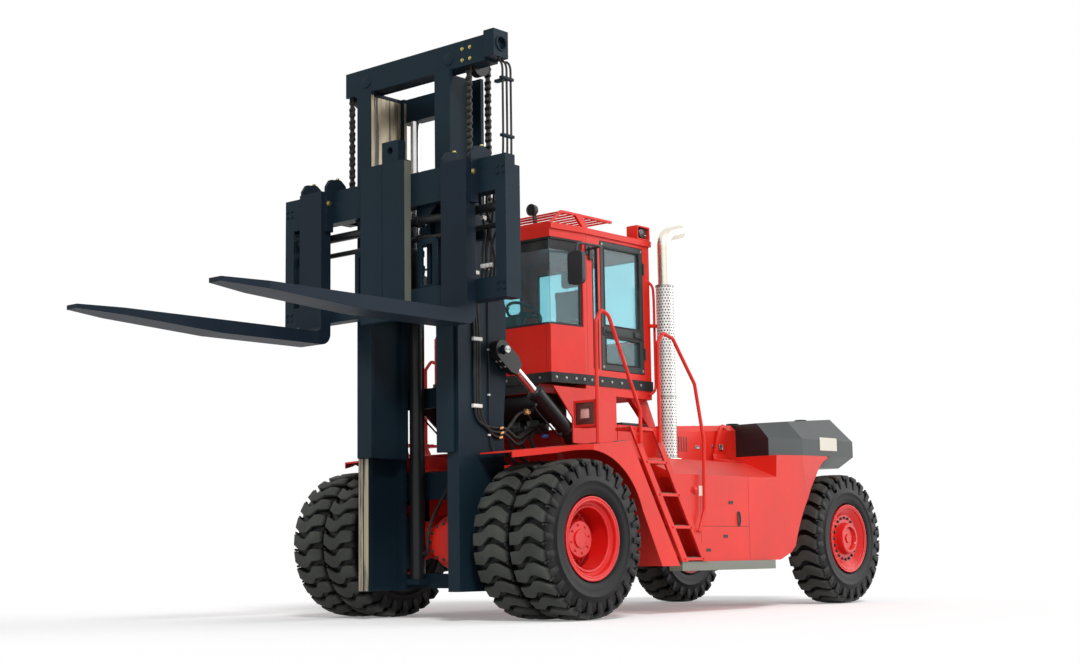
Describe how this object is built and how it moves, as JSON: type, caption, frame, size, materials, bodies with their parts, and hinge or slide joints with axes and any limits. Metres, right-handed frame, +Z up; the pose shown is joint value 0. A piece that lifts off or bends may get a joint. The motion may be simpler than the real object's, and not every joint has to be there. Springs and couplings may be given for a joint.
{
  "type": "heavy forklift",
  "caption": "Heavy counterbalance forklift with two-stage mast, wide fork-positioning carriage, twin front wheels and steered rear wheels.",
  "frame": {"origin": "on the ground, at the middle of the footprint rectangle", "axes": "+Z up, -Y towards the fork tips, +X the truck's left"},
  "size_m": [3.345, 9.74, 5.4699],
  "materials": {
    "tyre_black": "matt black rubber",
    "rim_red": "gloss red paint",
    "body_red": "gloss red paint",
    "mast_paint": "satin dark blue-grey paint",
    "fork_steel": "satin black paint",
    "weight_paint": "satin dark grey-green paint on cast iron",
    "step_grey": "grey-green paint",
    "axle_black": "black paint",
    "engine_grey": "plain casting",
    "glass_teal": "teal tint",
    "rubber_black": "black rubber strip",
    "chrome_rod": "hard chrome",
    "cylinder_black": "gloss black paint",
    "chain_steel": "oiled steel",
    "stack_steel": "bright steel",
    "cab_trim": "dark grey plastic",
    "seat_cloth": "black cloth",
    "door_grey": "dark grey paint"
  },
  "bodies": {
    "chassis": {"chassis_frame": "body_red", "front_axle": "axle_black", "rear_axle": "axle_black", "engine_block": "engine_grey", "counterweight": "weight_paint", "tow_hitch": "axle_black", "side_bodies": "body_red", "step_bars": "step_grey", "front_fenders": "body_red", "ladders": "body_red", "handrails": "body_red", "headlamps": "body_red", "mirrors": "cab_trim", "engine_deck": "body_red", "exhaust_stack": "stack_steel", "cab_pedestal": "body_red", "cab_band": "rubber_black", "cab_shell": "body_red", "cab_roof": "body_red", "cab_glass": "glass_teal", "driver_seat": "cab_trim", "seat_cushions": "seat_cloth", "dashboard": "cab_trim"},
    "door": {"cab_door": "door_grey", "door_glass": "glass_teal"},
    "hood": {"hood": "body_red"},
    "mast_outer": {"outer_mast": "mast_paint", "lift_cylinders": "cylinder_black"},
    "mast_inner": {"inner_mast": "mast_paint", "crosshead": "mast_paint", "chain_sheaves": "cylinder_black", "lift_rods": "chrome_rod", "carriage_chains": "chain_steel", "anchor_chains": "chain_steel"},
    "fork_carriage": {"carriage": "mast_paint", "positioner_rods": "cylinder_black"},
    "left_fork": {"fork_left": "fork_steel"},
    "right_fork": {"fork_right": "fork_steel"},
    "tilt_cylinder_barrels": {"tilt_barrels": "cylinder_black"},
    "tilt_cylinder_rods": {"tilt_rods": "chrome_rod", "tilt_rod_heads": "cylinder_black"},
    "front_wheels_left": {"front_tyres_left": "tyre_black", "front_rim_left": "rim_red"},
    "front_wheels_right": {"front_tyres_right": "tyre_black", "front_rim_right": "rim_red"},
    "steering_left": {"knuckle_left": "axle_black"},
    "steering_right": {"knuckle_right": "axle_black"},
    "rear_wheel_left": {"rear_tyre_left": "tyre_black", "rear_rim_left": "rim_red"},
    "rear_wheel_right": {"rear_tyre_right": "tyre_black", "rear_rim_right": "rim_red"}
  },
  "joints": [
    {"name": "mast_tilt", "type": "hinge", "parent": "chassis", "child": "mast_outer", "pos_m": [0, -1.08, 0.735], "axis": [1, 0, 0], "range_deg": [-10, 6]},
    {"name": "inner_mast_lift", "type": "slide", "parent": "mast_outer", "child": "mast_inner", "axis": [0, 0, 1], "range_m": [-1.25, 0.75], "deforming": ["anchor_chains"]},
    {"name": "carriage_lift", "type": "slide", "parent": "mast_inner", "child": "fork_carriage", "axis": [0, 0, 1], "range_m": [-1.25, 0.75], "deforming": ["carriage_chains"]},
    {"name": "fork_left_slide", "type": "slide", "parent": "fork_carriage", "child": "left_fork", "axis": [1, 0, 0], "range_m": [-0.45, 0.19]},
    {"name": "fork_right_slide", "type": "slide", "parent": "fork_carriage", "child": "right_fork", "axis": [-1, 0, 0], "range_m": [-0.45, 0.19]},
    {"name": "front_wheels_left_roll", "type": "hinge", "parent": "chassis", "child": "front_wheels_left", "pos_m": [1.24, -1.08, 0.735], "axis": [1, 0, 0], "continuous": true},
    {"name": "front_wheels_right_roll", "type": "hinge", "parent": "chassis", "child": "front_wheels_right", "pos_m": [-1.24, -1.08, 0.735], "axis": [1, 0, 0], "continuous": true},
    {"name": "steer_left", "type": "hinge", "parent": "chassis", "child": "steering_left", "pos_m": [0.82, 3.97, 0.735], "axis": [0, 0, 1], "range_deg": [-50, 50]},
    {"name": "steer_right", "type": "hinge", "parent": "chassis", "child": "steering_right", "pos_m": [-0.82, 3.97, 0.735], "axis": [0, 0, 1], "range_deg": [-50, 50]},
    {"name": "rear_wheel_left_roll", "type": "hinge", "parent": "steering_left", "child": "rear_wheel_left", "pos_m": [1.13, 3.97, 0.735], "axis": [1, 0, 0], "continuous": true},
    {"name": "rear_wheel_right_roll", "type": "hinge", "parent": "steering_right", "child": "rear_wheel_right", "pos_m": [-1.13, 3.97, 0.735], "axis": [1, 0, 0], "continuous": true},
    {"name": "cab_door_swing", "type": "hinge", "parent": "chassis", "child": "door", "pos_m": [0.8613, 0.806, 3.1], "axis": [0, 0, 1], "range_deg": [0, 90]},
    {"name": "hood_lift", "type": "hinge", "parent": "chassis", "child": "hood", "pos_m": [-0.869, 1.72, 1.567], "axis": [0, -1, 0], "range_deg": [0, 70]},
    {"name": "tilt_barrel_swing", "type": "hinge", "parent": "chassis", "child": "tilt_cylinder_barrels", "pos_m": [0, -0.276, 1.747], "axis": [1, 0, 0], "range_deg": [-11, 7]},
    {"name": "tilt_rod_slide", "type": "slide", "parent": "tilt_cylinder_barrels", "child": "tilt_cylinder_rods", "axis": [0, -0.8056, 0.5924], "range_m": [-0.26, 0.16]}
  ],
  "couplings": [
    {"joint": "carriage_lift", "follows": "inner_mast_lift", "ratio": 1},
    {"joint": "steer_right", "follows": "steer_left", "ratio": 1},
    {"joint": "tilt_barrel_swing", "follows": "mast_tilt", "ratio": 0.9975},
    {"joint": "tilt_rod_slide", "follows": "mast_tilt", "m_per_rad": 1.2884}
  ]
}
